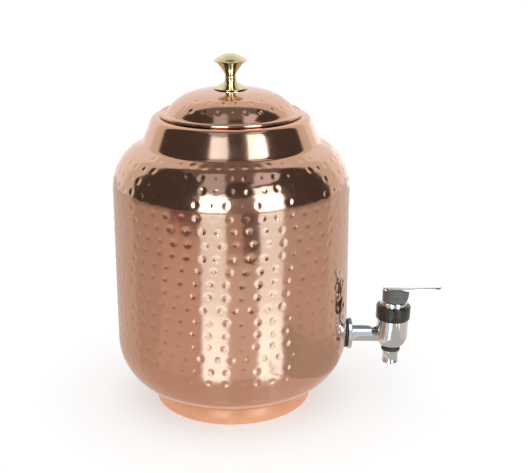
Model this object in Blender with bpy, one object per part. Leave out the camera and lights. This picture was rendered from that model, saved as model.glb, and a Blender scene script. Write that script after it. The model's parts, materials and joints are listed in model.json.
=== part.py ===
# Copper water dispenser pot with a lift-off lid, a turned brass knob and a chromed lever tap.
# Metres, +Z up, with the tap along +X. The origin is on the table, at the middle of the whole footprint.

import math

import bmesh
import bpy

# Gaps and steps that the pieces share
seat_gap = 0.0003
slide_gap = 0.0003
cut_overrun = 0.0040
weld_distance = 0.000001
pot_steps = 56
lid_steps = 48
tap_steps = 28
small_steps = 16
sharp_angle = math.radians(32)

# Pot shell: one spun sheet with a round lower corner, a straight wall, a round shoulder and a collar
sheet = 0.0010
body_radius = 0.1103
base_height = 0.0130
corner_radius = 0.0510
wall_height = 0.1465
shoulder_radius = 0.0460
collar_height = 0.0241
collar_spread = 0.0145
rim_width = 0.0055
rim_round = 0.0065
mouth_radius = 0.0620
corner_steps = 7
shoulder_steps = 6
rim_steps = 3

# Foot ring: a strip of copper soldered under the shell
foot_radius = 0.0750
foot_wall = 0.0015

# Lid: a spun dome with a narrow flange and an edge rolled over a wire, and a ring that centres it
lid_overhang = 0.0034
lid_bead = 0.0014
lid_flange_width = 0.0062
lid_dome_height = 0.0215
lid_dome_edge_angle = math.radians(26.6)
lid_dome_fullness = 2.8
lid_dome_steps = 8
lid_bead_steps = 7
locating_ring_clearance = 0.0008
locating_ring_wall = 0.0010
locating_ring_depth = 0.0118

# Knob: turned brass, held by one screw and a washer from inside the lid
knob_radius = 0.0153
knob_edge = 0.0010
knob_foot_height = 0.0058
knob_neck_radius = 0.0045
knob_bead = 0.0006
knob_bead_height = 0.0025
knob_flare_height = 0.0130
knob_flare_power = 1.25
knob_crown = 0.0062
knob_flare_steps = 4
knob_bead_steps = 3
# Shares of the knob's radius and of its crown's height
knob_crown_shares = ((0.62, 0.45), (0.40, 0.78), (0.20, 0.96))
knob_screw_radius = 0.0020
knob_screw_length = 0.0140
knob_screw_head_radius = 0.0040
knob_screw_head_height = 0.0024
knob_screw_head_share = 0.7
knob_washer_radius = 0.0070
knob_washer_thickness = 0.0010

# Tap: where it goes through the wall, how far out its body stands and how it leans
tap_height = 0.0588
tap_reach = 0.0458
tap_lean = math.radians(1.7)

# Shank and its fixings on both sides of the wall
shank_radius = 0.0079
shank_bore = 0.0050
shank_tail = 0.0030
flange_width = 0.0074
flange_thickness = 0.0038
flange_bevel = 0.0012
outer_gasket_width = 0.0060
outer_gasket_thickness = 0.0016
inner_gasket_width = 0.0046
inner_gasket_thickness = 0.0050
inner_washer_thickness = 0.0010
lock_nut_width = 0.0041
lock_nut_thickness = 0.0070
lock_nut_sides = 6

# Tap body: a chromed cup with a round bottom, and the ring nut and cap that close its top
tap_radius = 0.0153
tap_wall = 0.0030
tap_cup_height = 0.0170
tap_neck_step = 0.0010
tap_neck_height = 0.0075
tap_floor_thickness = 0.0061
tap_bottom_land = 0.0022
tap_cup_steps = 5
chamber_steps = 3
bonnet_seal_thickness = 0.0012
bonnet_flange_thickness = 0.0020
bonnet_cap_step = 0.0009
bonnet_cap_height = 0.0072
bonnet_cap_wall = 0.0020
bonnet_cap_roof = 0.0025
bonnet_cap_round = 0.0015
bonnet_cap_round_steps = 2
bonnet_ring_wall = 0.0021
bonnet_ring_lip = 0.0025
bonnet_ring_chamfer = 0.0014
gland_wall = 0.0018
gland_depth = 0.0036
o_ring_thickness = 0.0012
o_ring_clearance = 0.0001
o_ring_steps = 8
spring_washer_thickness = 0.0008

# Spout: screws up into the tap body, and its top end is the valve's seat
spout_thread_radius = 0.0065
spout_bore = 0.0050
spout_collar_radius = 0.0092
spout_collar_height = 0.0034
spout_step_radius = 0.0083
spout_step_height = 0.0024
spout_radius = 0.0075
spout_nozzle_height = 0.0106
spout_lip = 0.0005
seat_height = 0.0010

# Stem, valve plug and return spring
stem_radius = 0.0030
stem_shoulder_radius = 0.0078
stem_shoulder_thickness = 0.0014
stem_above_pin = 0.0035
plug_clearance = 0.0020
plug_thickness = 0.0050
plug_socket_depth = 0.0028
plug_taper = 0.0006
spring_radius = 0.0064
spring_wire = 0.0011
spring_turns = 8
spring_turn_points = 9

# Lever: a cam block and a finger blade, pinned to the top of the stem
cam_radius = 0.0131
cam_forward = 0.0014
cam_arm = 0.0080
cam_roof = 0.0016
cam_taper = 0.0005
cam_nose_angle = math.radians(60)
cam_steps = 6
lever_swing = math.radians(25)
pin_above_cam_foot = 0.0065
pin_radius = 0.00125
pin_inset = 0.0010
blade_length = 0.0580
blade_overhang = 0.0008
blade_half_width = 0.0130
blade_thickness = 0.0024
blade_undercut = 0.0010
tenon_web = 0.0012
tenon_length = 0.0036
tenon_half_width = 0.0040
tenon_depth = 0.0012
# Shares of the blade's length, half width and thickness, and of its thickness for the rise of its foot
blade_shares = (
    (0.000, 0.90, 0.70, 0.24),
    (0.030, 0.98, 0.86, 0.06),
    (0.100, 1.00, 1.00, 0.00),
    (0.300, 1.00, 1.00, 0.00),
    (0.400, 0.97, 0.92, 0.00),
    (0.500, 0.90, 0.82, 0.02),
    (0.620, 0.82, 0.76, 0.04),
    (0.760, 0.75, 0.74, 0.05),
    (0.880, 0.66, 0.72, 0.09),
    (0.950, 0.52, 0.66, 0.20),
    (0.985, 0.34, 0.56, 0.32),
    (1.000, 0.14, 0.44, 0.42),
)
# Shares of the blade's half width and of its thickness across one section
blade_edge_share = 0.45
blade_shoulder_shares = (0.60, 0.86)

# Places worked out from the sizes above
quarter = math.pi / 2
full_turn = 2 * math.pi
corner_centre_radius = body_radius - corner_radius
corner_centre_height = base_height + corner_radius
shoulder_centre_radius = body_radius - shoulder_radius
shoulder_centre_height = corner_centre_height + wall_height
rim_centre_radius = mouth_radius + rim_width
crease_radius = rim_centre_radius + collar_spread
crease_angle = math.acos((crease_radius - shoulder_centre_radius) / shoulder_radius)
crease_height = shoulder_centre_height + shoulder_radius * math.sin(crease_angle)
mouth_height = crease_height + collar_height
tap_drop = max(corner_centre_height - tap_height, 0)
tap_wall_radius = corner_centre_radius + math.sqrt(corner_radius**2 - tap_drop**2)
tap_middle_radius = tap_wall_radius + tap_reach * math.cos(tap_lean)
tap_middle_height = tap_height - tap_reach * math.sin(tap_lean)
shank_hole_radius = shank_radius + slide_gap
inner_gasket_end = tap_reach + sheet + inner_gasket_thickness
inner_washer_end = inner_gasket_end + seat_gap + inner_washer_thickness
lock_nut_start = inner_washer_end + seat_gap
lock_nut_end = lock_nut_start + lock_nut_thickness
chamber_radius = tap_radius - tap_wall
shank_outer_end = math.sqrt(chamber_radius**2 - shank_bore**2)
tap_bottom_radius = spout_thread_radius + tap_bottom_land
tap_bottom = -math.sqrt(tap_radius**2 - tap_bottom_radius**2)
tap_floor = tap_bottom + tap_floor_thickness
chamber_floor_radius = math.sqrt(chamber_radius**2 - tap_floor**2)
tap_neck_radius = tap_radius - tap_neck_step
tap_neck_top = tap_cup_height + tap_neck_height
bonnet_bottom = tap_neck_top + seat_gap + bonnet_seal_thickness + seat_gap
bonnet_flange_top = bonnet_bottom + bonnet_flange_thickness
bonnet_top = bonnet_flange_top + bonnet_cap_height
bonnet_roof = bonnet_top - bonnet_cap_roof
bonnet_cap_radius = tap_neck_radius - bonnet_cap_step
gland_bottom = bonnet_roof - gland_depth
stem_hole_radius = stem_radius + slide_gap
o_ring_seat_radius = stem_radius + o_ring_clearance + o_ring_thickness + slide_gap
gland_radius = o_ring_seat_radius + gland_wall
spring_washer_bottom = gland_bottom - seat_gap - spring_washer_thickness
plug_radius = chamber_floor_radius - plug_clearance
plug_bottom = tap_floor + seat_height + seat_gap
plug_top = plug_bottom + plug_thickness
stem_shoulder_bottom = plug_top + seat_gap
stem_shoulder_top = stem_shoulder_bottom + stem_shoulder_thickness
pin_height = bonnet_top + seat_gap + pin_above_cam_foot
stem_lean_half = stem_radius / math.cos(lever_swing)
stem_slot_front = pin_above_cam_foot * math.tan(lever_swing) + stem_lean_half + slide_gap
stem_slot_back = stem_above_pin * math.tan(lever_swing) + stem_lean_half + slide_gap
stem_slot_top = stem_above_pin + stem_radius * math.sin(lever_swing) + slide_gap
cam_top = stem_slot_top + cam_roof
blade_foot = cam_top + seat_gap
tenon_back = stem_slot_front + tenon_web
blade_back = cam_forward - cam_radius - blade_overhang
blade_tip = blade_back + blade_length
lever_reach = (
    tap_middle_radius
    + blade_tip * math.cos(tap_lean)
    + (pin_height + blade_foot) * math.sin(tap_lean)
)
pot_offset = (lever_reach - body_radius) / 2


def clear_scene():
    for thing in list(bpy.data.objects):
        bpy.data.objects.remove(thing)


def finish(name, colour, roughness, metallic):
    """A Principled BSDF material, made once and shared by the pieces of that finish."""
    made = bpy.data.materials.get(name)
    if made is None:
        made = bpy.data.materials.new(name)
        made.use_nodes = True
        shader = made.node_tree.nodes["Principled BSDF"]
        shader.inputs["Base Color"].default_value = (*colour, 1)
        shader.inputs["Roughness"].default_value = roughness
        shader.inputs["Metallic"].default_value = metallic
    return made


def polished_copper():
    return finish("polished_copper", (0.80, 0.42, 0.27), 0.14, 1.0)


def satin_copper():
    return finish("satin_copper", (0.78, 0.44, 0.28), 0.38, 1.0)


def brass():
    return finish("brass", (0.83, 0.66, 0.33), 0.12, 1.0)


def chrome():
    return finish("chrome", (0.62, 0.63, 0.64), 0.08, 1.0)


def steel():
    return finish("steel", (0.52, 0.52, 0.52), 0.30, 1.0)


def black_plastic():
    return finish("black_plastic", (0.02, 0.02, 0.02), 0.25, 0.0)


def grey_plastic():
    return finish("grey_plastic", (0.12, 0.12, 0.115), 0.45, 0.0)


def rubber():
    return finish("rubber", (0.03, 0.03, 0.03), 0.75, 0.0)


def silicone():
    return finish("silicone", (0.75, 0.74, 0.70), 0.55, 0.0)


def frame_at(name, place, turn=(0, 0, 0), parent=None):
    """An empty that carries pieces: a place and a turn that they share."""
    empty = bpy.data.objects.new(name, None)
    empty.location = place
    empty.rotation_euler = turn
    empty.parent = parent
    bpy.context.scene.collection.objects.link(empty)
    return empty


def piece(name, shape, material, parent=None):
    """A named object from a finished bmesh, shaded smooth except at its sharp edges."""
    mesh = bpy.data.meshes.new(name)
    shape.to_mesh(mesh)
    shape.free()
    mesh.shade_smooth()
    mesh.set_sharp_from_angle(angle=sharp_angle)
    made = bpy.data.objects.new(name, mesh)
    made.parent = parent
    if material is not None:
        mesh.materials.append(material)
    bpy.context.scene.collection.objects.link(made)
    return made


def cutter(name, shape, parent=None):
    made = piece(name, shape, None, parent)
    made.hide_render = True
    made.display_type = "WIRE"
    return made


def combine(target, other, operation):
    change = target.modifiers.new(other.name, "BOOLEAN")
    change.operation = operation
    change.solver = "EXACT"
    change.object = other


def arc(centre_radius, centre_height, radius, start, end, steps):
    """Points (radius, height) along an arc, with its angles measured from straight out."""
    points = []
    for step in range(steps + 1):
        angle = start + (end - start) * step / steps
        across = centre_radius + radius * math.cos(angle)
        points.append((across, centre_height + radius * math.sin(angle)))
    return points


def spin_line(shape, line, closed, steps):
    """Turns a line of (radius, height) points round Z into a skin with its faces made consistent."""
    corners = [shape.verts.new((across, 0, height)) for across, height in line]
    ends = corners[1:] + corners[:1] if closed else corners[1:]
    edges = [shape.edges.new(pair) for pair in zip(corners, ends)]
    bmesh.ops.spin(
        shape,
        geom=corners + edges,
        axis=(0, 0, 1),
        angle=full_turn,
        steps=steps,
        use_merge=True,
    )
    bmesh.ops.remove_doubles(shape, verts=shape.verts, dist=weld_distance)
    bmesh.ops.recalc_face_normals(shape, faces=shape.faces)


def turned(outline, steps):
    """A closed solid turned about Z from (radius, height) points that run once round its section."""
    shape = bmesh.new()
    on_axis = outline[0][0] == 0 and outline[-1][0] == 0
    spin_line(shape, outline, not on_axis, steps)
    return shape


def ring(inner, outer, bottom, top, steps):
    """A plain turned ring."""
    return turned([(inner, bottom), (outer, bottom), (outer, top), (inner, top)], steps)


def rod(radius, bottom, top, steps):
    """A plain turned disc or rod."""
    return turned([(0, bottom), (radius, bottom), (radius, top), (0, top)], steps)


def block(low, high):
    """A box between two opposite corners."""
    shape = bmesh.new()
    bmesh.ops.create_cube(shape, size=1)
    size = [b - a for a, b in zip(low, high)]
    middle = [(a + b) / 2 for a, b in zip(low, high)]
    bmesh.ops.scale(shape, vec=size, verts=shape.verts)
    bmesh.ops.translate(shape, vec=middle, verts=shape.verts)
    return shape


def inset_line(points, distance):
    """The same open line, moved to its left by a distance along its normals."""
    moved = []
    for index, (across, height) in enumerate(points):
        before = points[max(index - 1, 0)]
        after = points[min(index + 1, len(points) - 1)]
        run = after[0] - before[0]
        rise = after[1] - before[1]
        length = math.hypot(run, rise)
        moved.append((across + rise / length * distance, height - run / length * distance))
    return moved


# Pot


def corner_arc(growth):
    """The shell's round lower corner, from its bottom to its wall, moved out by a growth."""
    radius = corner_radius + growth
    return arc(corner_centre_radius, corner_centre_height, radius, -quarter, 0, corner_steps)


def rim_arc():
    """The round from the collar to the flat lip of the mouth. The collar meets it on a tangent."""
    centre_height = mouth_height - rim_round
    run = crease_radius - rim_centre_radius
    rise = crease_height - centre_height
    start = math.atan2(rise, run) + math.acos(rim_round / math.hypot(run, rise))
    return arc(rim_centre_radius, centre_height, rim_round, start, quarter, rim_steps)


def shell_line():
    """The shell's outer surface, from the middle of its bottom to the edge of its mouth."""
    line = [(0, base_height)] + corner_arc(0)
    line += arc(
        shoulder_centre_radius,
        shoulder_centre_height,
        shoulder_radius,
        0,
        crease_angle,
        shoulder_steps,
    )
    return line + rim_arc() + [(mouth_radius, mouth_height)]


def make_pot_shell(frame, shank_hole):
    """The vessel: one sheet from its bottom up over the shoulder to the lip of its mouth."""
    shape = bmesh.new()
    spin_line(shape, shell_line(), False, pot_steps)
    bottom = min(shape.faces, key=lambda face: face.calc_center_median().z)
    if bottom.normal.z > 0:
        bmesh.ops.reverse_faces(shape, faces=shape.faces)
    shell = piece("pot_shell", shape, polished_copper(), frame)
    wall = shell.modifiers.new("sheet", "SOLIDIFY")
    wall.thickness = sheet
    wall.offset = -1
    wall.use_even_offset = True
    combine(shell, shank_hole, "DIFFERENCE")


def wall_form(growth):
    """A solid that fills the lower shell, its surface moved out by a growth, to fit pieces to the wall."""
    line = [(0, base_height - growth)] + corner_arc(growth)
    line.append((body_radius + growth, shoulder_centre_height))
    line.append((0, shoulder_centre_height))
    return turned(line, pot_steps)


def shell_underside_at(across):
    """Height of the shell's underside at a radius."""
    run = max(across - corner_centre_radius, 0)
    return corner_centre_height - math.sqrt(corner_radius**2 - run**2)


def make_foot_ring(frame):
    inner = foot_radius - foot_wall
    outline = [
        (inner, 0),
        (foot_radius, 0),
        (foot_radius, shell_underside_at(foot_radius) - seat_gap),
        (inner, shell_underside_at(inner) - seat_gap),
    ]
    piece("foot_ring", turned(outline, pot_steps), satin_copper(), frame)


# Lid. Its frame's origin is in the plane of the mouth.


def lid_flange_top():
    """The flange meets the rolled edge at the height of the wire's middle."""
    return seat_gap + lid_bead + sheet / 2


def lid_dome_line():
    """The lid's upper surface: the knob's flat seat, then a full dome out to the flange."""
    power = 2 / lid_dome_fullness
    edge_radius = mouth_radius + lid_overhang - lid_flange_width
    across = edge_radius / math.cos(lid_dome_edge_angle) ** power
    rise = lid_dome_height / (1 - math.sin(lid_dome_edge_angle) ** power)
    bottom = lid_flange_top() - rise * math.sin(lid_dome_edge_angle) ** power
    seat_angle = math.acos((knob_radius / across) ** (1 / power))
    line = []
    for step in range(lid_dome_steps + 1):
        angle = seat_angle + (lid_dome_edge_angle - seat_angle) * step / lid_dome_steps
        height = bottom + rise * math.sin(angle) ** power
        line.append((across * math.cos(angle) ** power, height))
    return [(0, line[0][1])] + line


def make_lid_shell(frame):
    dome = lid_dome_line()
    bead_centre = mouth_radius + lid_overhang - lid_bead
    meet = math.asin(sheet / 2 / lid_bead)
    bead_height = seat_gap + lid_bead
    bead = arc(bead_centre, bead_height, lid_bead, math.pi - meet, meet - math.pi, lid_bead_steps)
    under = inset_line(dome, sheet)
    under[0] = (0, dome[0][1] - sheet)
    under[1] = (dome[1][0], dome[1][1] - sheet)
    under[-1] = (dome[-1][0] - sheet / 2, lid_flange_top() - sheet)
    shell = piece("lid_shell", turned(dome + bead + under[::-1], lid_steps), polished_copper(), frame)
    low = dome[0][1] - sheet - cut_overrun
    high = dome[0][1] + cut_overrun
    hole = rod(knob_screw_radius + slide_gap, low, high, small_steps)
    combine(shell, cutter("knob_screw_hole", hole, frame), "DIFFERENCE")


def make_locating_ring(frame):
    """The ring under the flange that keeps the lid in the middle of the mouth."""
    outer = mouth_radius - locating_ring_clearance
    top = lid_flange_top() - sheet - seat_gap
    shape = ring(outer - locating_ring_wall, outer, top - locating_ring_depth, top, lid_steps)
    piece("lid_locating_ring", shape, polished_copper(), frame)


def knob_line():
    """The knob's outline from its foot: a low cone, two beads, a flare to a thin rim, and a crown."""
    waist = knob_neck_radius
    reach = knob_radius - waist
    line = [(0, 0), (knob_radius, 0), (knob_radius, knob_edge)]
    height = knob_edge + knob_foot_height
    line.append((waist + knob_bead, height))
    for _bead in range(2):
        for step in range(1, knob_bead_steps + 1):
            swell = math.sin(math.pi * step / (knob_bead_steps + 1))
            across = waist + knob_bead * swell
            line.append((across, height + knob_bead_height * step / (knob_bead_steps + 1)))
        height += knob_bead_height
    for step in range(knob_flare_steps + 1):
        share = step / knob_flare_steps
        across = waist + reach * share**knob_flare_power
        line.append((across, height + knob_flare_height * share))
    height += knob_flare_height + knob_edge
    line.append((knob_radius, height))
    for across_share, height_share in knob_crown_shares:
        line.append((knob_radius * across_share, height + knob_crown * height_share))
    line.append((0, height + knob_crown))
    return line


def make_knob(frame):
    """The knob on its seat, and the screw and washer that hold it from under the lid."""
    seat = frame_at("knob_seat", (0, 0, lid_dome_line()[0][1] + seat_gap), parent=frame)
    knob = piece("lid_knob", turned(knob_line(), tap_steps), brass(), seat)
    bore = knob_screw_radius + slide_gap
    thread = rod(bore, -cut_overrun, knob_screw_length - sheet - knob_washer_thickness, small_steps)
    combine(knob, cutter("knob_thread_hole", thread, seat), "DIFFERENCE")
    washer_top = -seat_gap - sheet - seat_gap
    washer_bottom = washer_top - knob_washer_thickness
    washer = ring(bore, knob_washer_radius, washer_bottom, washer_top, small_steps)
    piece("knob_washer", washer, steel(), seat)
    head_top = washer_bottom - seat_gap
    head_bottom = head_top - knob_screw_head_height
    outline = [
        (0, head_bottom),
        (knob_screw_head_radius * knob_screw_head_share, head_bottom),
        (knob_screw_head_radius, head_bottom + knob_screw_head_height / 2),
        (knob_screw_head_radius, head_top),
        (knob_screw_radius, head_top),
        (knob_screw_radius, head_top + knob_screw_length),
        (0, head_top + knob_screw_length),
    ]
    piece("knob_screw", turned(outline, small_steps), steel(), seat)


# Tap fixings. The shank frame's Z runs from the middle of the tap body towards the pot.


def make_shank(frame):
    """The threaded tube that leads the water through the wall into the tap body."""
    shape = ring(shank_bore, shank_radius, shank_outer_end, lock_nut_end + shank_tail, tap_steps)
    piece("tap_shank", shape, chrome(), frame)


def make_outer_fixings(frame, pot_frame):
    """The chromed flange outside the wall, and the gasket that fills the space behind it."""
    outside = cutter("wall_outside", wall_form(seat_gap), pot_frame)
    gasket_start = tap_reach - outer_gasket_thickness
    gasket_radius = shank_radius + outer_gasket_width
    shape = ring(shank_hole_radius, gasket_radius, gasket_start, inner_gasket_end, tap_steps)
    gasket = piece("outer_gasket", shape, rubber(), frame)
    combine(gasket, outside, "DIFFERENCE")
    flange_end = gasket_start - seat_gap
    flange_start = flange_end - flange_thickness
    flange_radius = shank_radius + flange_width
    outline = [
        (shank_hole_radius, flange_start),
        (flange_radius - flange_bevel, flange_start),
        (flange_radius, flange_start + flange_bevel),
        (flange_radius, flange_end),
        (shank_hole_radius, flange_end),
    ]
    piece("tap_flange", turned(outline, tap_steps), chrome(), frame)


def make_inner_fixings(frame, pot_frame):
    """The gasket, washer and nut that hold the shank from inside the pot."""
    inside = cutter("wall_inside", wall_form(-sheet - seat_gap), pot_frame)
    radius = shank_radius + inner_gasket_width
    shape = ring(shank_hole_radius, radius, tap_reach - cut_overrun, inner_gasket_end, tap_steps)
    gasket = piece("inner_gasket", shape, rubber(), frame)
    combine(gasket, inside, "INTERSECT")
    washer_start = inner_gasket_end + seat_gap
    washer = ring(shank_hole_radius, radius, washer_start, inner_washer_end, tap_steps)
    piece("inner_washer", washer, steel(), frame)
    corner = (shank_radius + lock_nut_width) / math.cos(full_turn / lock_nut_sides / 2)
    bevel = corner - shank_radius - lock_nut_width
    outline = [
        (shank_hole_radius, lock_nut_start),
        (corner - bevel, lock_nut_start),
        (corner, lock_nut_start + bevel / 2),
        (corner, lock_nut_end - bevel / 2),
        (corner - bevel, lock_nut_end),
        (shank_hole_radius, lock_nut_end),
    ]
    nut = piece("lock_nut", turned(outline, tap_steps), steel(), frame)
    low = lock_nut_start - cut_overrun
    sides = rod(corner, low, lock_nut_end + cut_overrun, lock_nut_sides)
    combine(nut, cutter("nut_sides", sides, frame), "INTERSECT")


# Tap body. The tap frame's origin is where the shank's axis crosses the stem's.


def make_tap_body(frame, shank_frame):
    outlet = spout_thread_radius + slide_gap
    outline = [(outlet, tap_bottom)]
    outline += arc(0, 0, tap_radius, math.asin(tap_bottom / tap_radius), 0, tap_cup_steps)
    outline += [
        (tap_radius, tap_cup_height),
        (tap_neck_radius, tap_cup_height),
        (tap_neck_radius, tap_neck_top),
        (chamber_radius, tap_neck_top),
    ]
    floor_angle = math.asin(tap_floor / chamber_radius)
    outline += arc(0, 0, chamber_radius, 0, floor_angle, chamber_steps)
    outline.append((outlet, tap_floor))
    body = piece("tap_body", turned(outline, tap_steps), chrome(), frame)
    hole = rod(shank_hole_radius, shank_outer_end - seat_gap, tap_radius + cut_overrun, tap_steps)
    combine(body, cutter("shank_socket", hole, shank_frame), "DIFFERENCE")


def make_spout(frame):
    """The spout: a stepped nozzle below the body, and above it a thread that ends in the valve's seat."""
    top = tap_bottom - seat_gap
    step_top = top - spout_collar_height
    nozzle_top = step_top - spout_step_height
    end = nozzle_top - spout_nozzle_height
    lip_radius = spout_radius + spout_lip
    outline = [
        (spout_bore, end),
        (lip_radius, end),
        (lip_radius, end + 2 * spout_lip),
        (spout_radius, end + 4 * spout_lip),
        (spout_radius, nozzle_top),
        (spout_step_radius, nozzle_top),
        (spout_step_radius, step_top),
        (spout_collar_radius, step_top),
        (spout_collar_radius, top),
        (spout_thread_radius, top),
        (spout_thread_radius, tap_floor + seat_height),
        (spout_bore, tap_floor + seat_height),
    ]
    piece("outlet_spout", turned(outline, tap_steps), chrome(), frame)


def make_bonnet(frame):
    """The cap that guides the stem, its flat seal, and the black ring nut that holds them down."""
    seal_top = bonnet_bottom - seat_gap
    seal_bottom = seal_top - bonnet_seal_thickness
    seal = ring(chamber_radius, tap_neck_radius, seal_bottom, seal_top, tap_steps)
    piece("bonnet_seal", seal, rubber(), frame)
    hollow = bonnet_cap_radius - bonnet_cap_wall
    round_radius = bonnet_cap_radius - bonnet_cap_round
    o_ring_roof = gland_bottom + 2 * o_ring_thickness
    outline = [
        (hollow, bonnet_bottom),
        (tap_neck_radius, bonnet_bottom),
        (tap_neck_radius, bonnet_flange_top),
        (bonnet_cap_radius, bonnet_flange_top),
    ]
    outline += arc(
        round_radius,
        bonnet_top - bonnet_cap_round,
        bonnet_cap_round,
        0,
        quarter,
        bonnet_cap_round_steps,
    )
    outline += [
        (stem_hole_radius, bonnet_top),
        (stem_hole_radius, o_ring_roof),
        (o_ring_seat_radius, o_ring_roof),
        (o_ring_seat_radius, gland_bottom),
        (gland_radius, gland_bottom),
        (gland_radius, bonnet_roof),
        (hollow, bonnet_roof),
    ]
    piece("bonnet_cap", turned(outline, tap_steps), chrome(), frame)
    thread = tap_neck_radius + slide_gap
    outer = thread + bonnet_ring_wall
    nut_bottom = tap_cup_height + seat_gap
    lip_bottom = bonnet_flange_top + seat_gap
    nut_top = lip_bottom + bonnet_ring_lip
    nut_outline = [
        (thread, nut_bottom),
        (outer, nut_bottom),
        (outer, nut_top - bonnet_ring_chamfer),
        (outer - bonnet_ring_chamfer, nut_top),
        (bonnet_cap_radius + slide_gap, nut_top),
        (bonnet_cap_radius + slide_gap, lip_bottom),
        (thread, lip_bottom),
    ]
    piece("bonnet_ring", turned(nut_outline, tap_steps), black_plastic(), frame)


def make_stem_seals(frame):
    """The o-ring round the stem, and the washer that keeps it in the gland."""
    thickness = o_ring_thickness / 2
    middle = stem_radius + o_ring_clearance + thickness
    height = gland_bottom + o_ring_thickness
    loop = arc(middle, height, thickness, 0, full_turn, o_ring_steps)[:-1]
    piece("stem_o_ring", turned(loop, small_steps), rubber(), frame)
    top = gland_bottom - seat_gap
    washer = ring(stem_hole_radius, gland_radius, spring_washer_bottom, top, small_steps)
    piece("spring_washer", washer, steel(), frame)


# Stem, plug and spring


def make_stem(frame, pin_hole):
    bottom = plug_top - plug_socket_depth + seat_gap
    top = pin_height + stem_above_pin
    outline = [
        (0, bottom),
        (stem_radius, bottom),
        (stem_radius, stem_shoulder_bottom),
        (stem_shoulder_radius, stem_shoulder_bottom),
        (stem_shoulder_radius, stem_shoulder_top),
        (stem_radius, stem_shoulder_top),
        (stem_radius, top),
        (0, top),
    ]
    stem = piece("stem", turned(outline, small_steps), steel(), frame)
    combine(stem, pin_hole, "DIFFERENCE")


def make_valve_plug(frame):
    """The soft plug that the stem presses on the seat, with a socket for the stem's foot."""
    socket_floor = plug_top - plug_socket_depth
    outline = [
        (0, plug_bottom),
        (plug_radius - plug_taper, plug_bottom),
        (plug_radius, plug_bottom + plug_thickness / 3),
        (plug_radius, plug_top),
        (stem_hole_radius, plug_top),
        (stem_hole_radius, socket_floor),
        (0, socket_floor),
    ]
    piece("valve_plug", turned(outline, small_steps), silicone(), frame)


def make_spring(frame):
    """The return spring: one wire wound round the stem, from its shoulder up to the washer."""
    bottom = stem_shoulder_top + seat_gap + spring_wire / 2
    top = spring_washer_bottom - seat_gap - spring_wire / 2
    count = spring_turns * spring_turn_points
    curve = bpy.data.curves.new("return_spring", "CURVE")
    curve.dimensions = "3D"
    curve.bevel_depth = spring_wire / 2
    curve.bevel_resolution = 1
    curve.use_fill_caps = True
    wire = curve.splines.new("POLY")
    wire.points.add(count)
    for index, point in enumerate(wire.points):
        share = index / count
        angle = full_turn * spring_turns * share
        across = spring_radius * math.cos(angle)
        along = spring_radius * math.sin(angle)
        point.co = (across, along, bottom + (top - bottom) * share, 1)
    curve.materials.append(steel())
    spring = bpy.data.objects.new("return_spring", curve)
    spring.parent = frame
    bpy.context.scene.collection.objects.link(spring)


# Lever. Its frame's origin is the middle of the pin, which lies along Y.


def rod_across(radius, half_length, steps):
    """A round rod along the pin's axis."""
    shape = rod(radius, -half_length, half_length, steps)
    for vert in shape.verts:
        across, along, height = vert.co
        vert.co = (across, height, -along)
    return shape


def cam_side_line():
    """The cam's side outline. Its foot is an involute, so that each degree lifts the stem alike."""
    back = cam_forward - cam_radius - cut_overrun
    line = [(back, cam_top + cut_overrun), (back, -pin_above_cam_foot)]
    for step in range(cam_steps + 1):
        turn = lever_swing * step / cam_steps
        drop = pin_above_cam_foot + cam_arm * turn
        across = cam_arm * math.cos(turn) + drop * math.sin(turn)
        line.append((across, cam_arm * math.sin(turn) - drop * math.cos(turn)))
    front = cam_forward + cam_radius + cut_overrun
    nose_rise = (front - line[-1][0]) * math.tan(cam_nose_angle)
    line.append((front, line[-1][1] + nose_rise))
    line.append((front, cam_top + nose_rise))
    return line


def side_extrusion(line, half_width):
    """A solid with one side outline (x, z), as wide as the given half width to each side."""
    shape = bmesh.new()
    corners = [shape.verts.new((across, -half_width, height)) for across, height in line]
    face = shape.faces.new(corners)
    swept = bmesh.ops.extrude_face_region(shape, geom=[face])["geom"]
    moved = [part for part in swept if isinstance(part, bmesh.types.BMVert)]
    bmesh.ops.translate(shape, vec=(0, 2 * half_width, 0), verts=moved)
    bmesh.ops.recalc_face_normals(shape, faces=shape.faces)
    return shape


def make_cam_block(pivot, pin_hole):
    """The block under the blade. Its foot rolls on the bonnet cap as the lever is pressed."""
    outline = [
        (0, -pin_above_cam_foot),
        (cam_radius - cam_taper, -pin_above_cam_foot),
        (cam_radius, cam_top - cam_taper),
        (cam_radius - cam_taper, cam_top),
        (0, cam_top),
    ]
    shape = turned(outline, tap_steps)
    bmesh.ops.translate(shape, vec=(cam_forward, 0, 0), verts=shape.verts)
    cam = piece("cam_block", shape, grey_plastic(), pivot)
    side = side_extrusion(cam_side_line(), cam_radius + cut_overrun)
    combine(cam, cutter("cam_side_former", side, pivot), "INTERSECT")
    slot_side = stem_radius + slide_gap
    slot = block(
        (-stem_slot_back, -slot_side, -pin_above_cam_foot - cut_overrun),
        (stem_slot_front, slot_side, stem_slot_top),
    )
    combine(cam, cutter("stem_slot", slot, pivot), "DIFFERENCE")
    pocket_side = tenon_half_width + slide_gap
    pocket = block(
        (tenon_back - slide_gap, -pocket_side, cam_top - tenon_depth),
        (tenon_back + tenon_length + slide_gap, pocket_side, cam_top + cut_overrun),
    )
    combine(cam, cutter("tenon_pocket", pocket, pivot), "DIFFERENCE")
    combine(cam, pin_hole, "DIFFERENCE")


def blade_section(half_width, bottom, thickness):
    """One section across the blade: a flat foot, sloping edges and a crowned top."""
    shoulder_share, height_share = blade_shoulder_shares
    foot_half = max(half_width - blade_undercut, half_width / 2)
    edge = bottom + thickness * blade_edge_share
    shoulder = bottom + thickness * height_share
    return [
        (-foot_half, bottom),
        (foot_half, bottom),
        (half_width, edge),
        (half_width * shoulder_share, shoulder),
        (0, bottom + thickness),
        (-half_width * shoulder_share, shoulder),
        (-half_width, edge),
    ]


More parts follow.
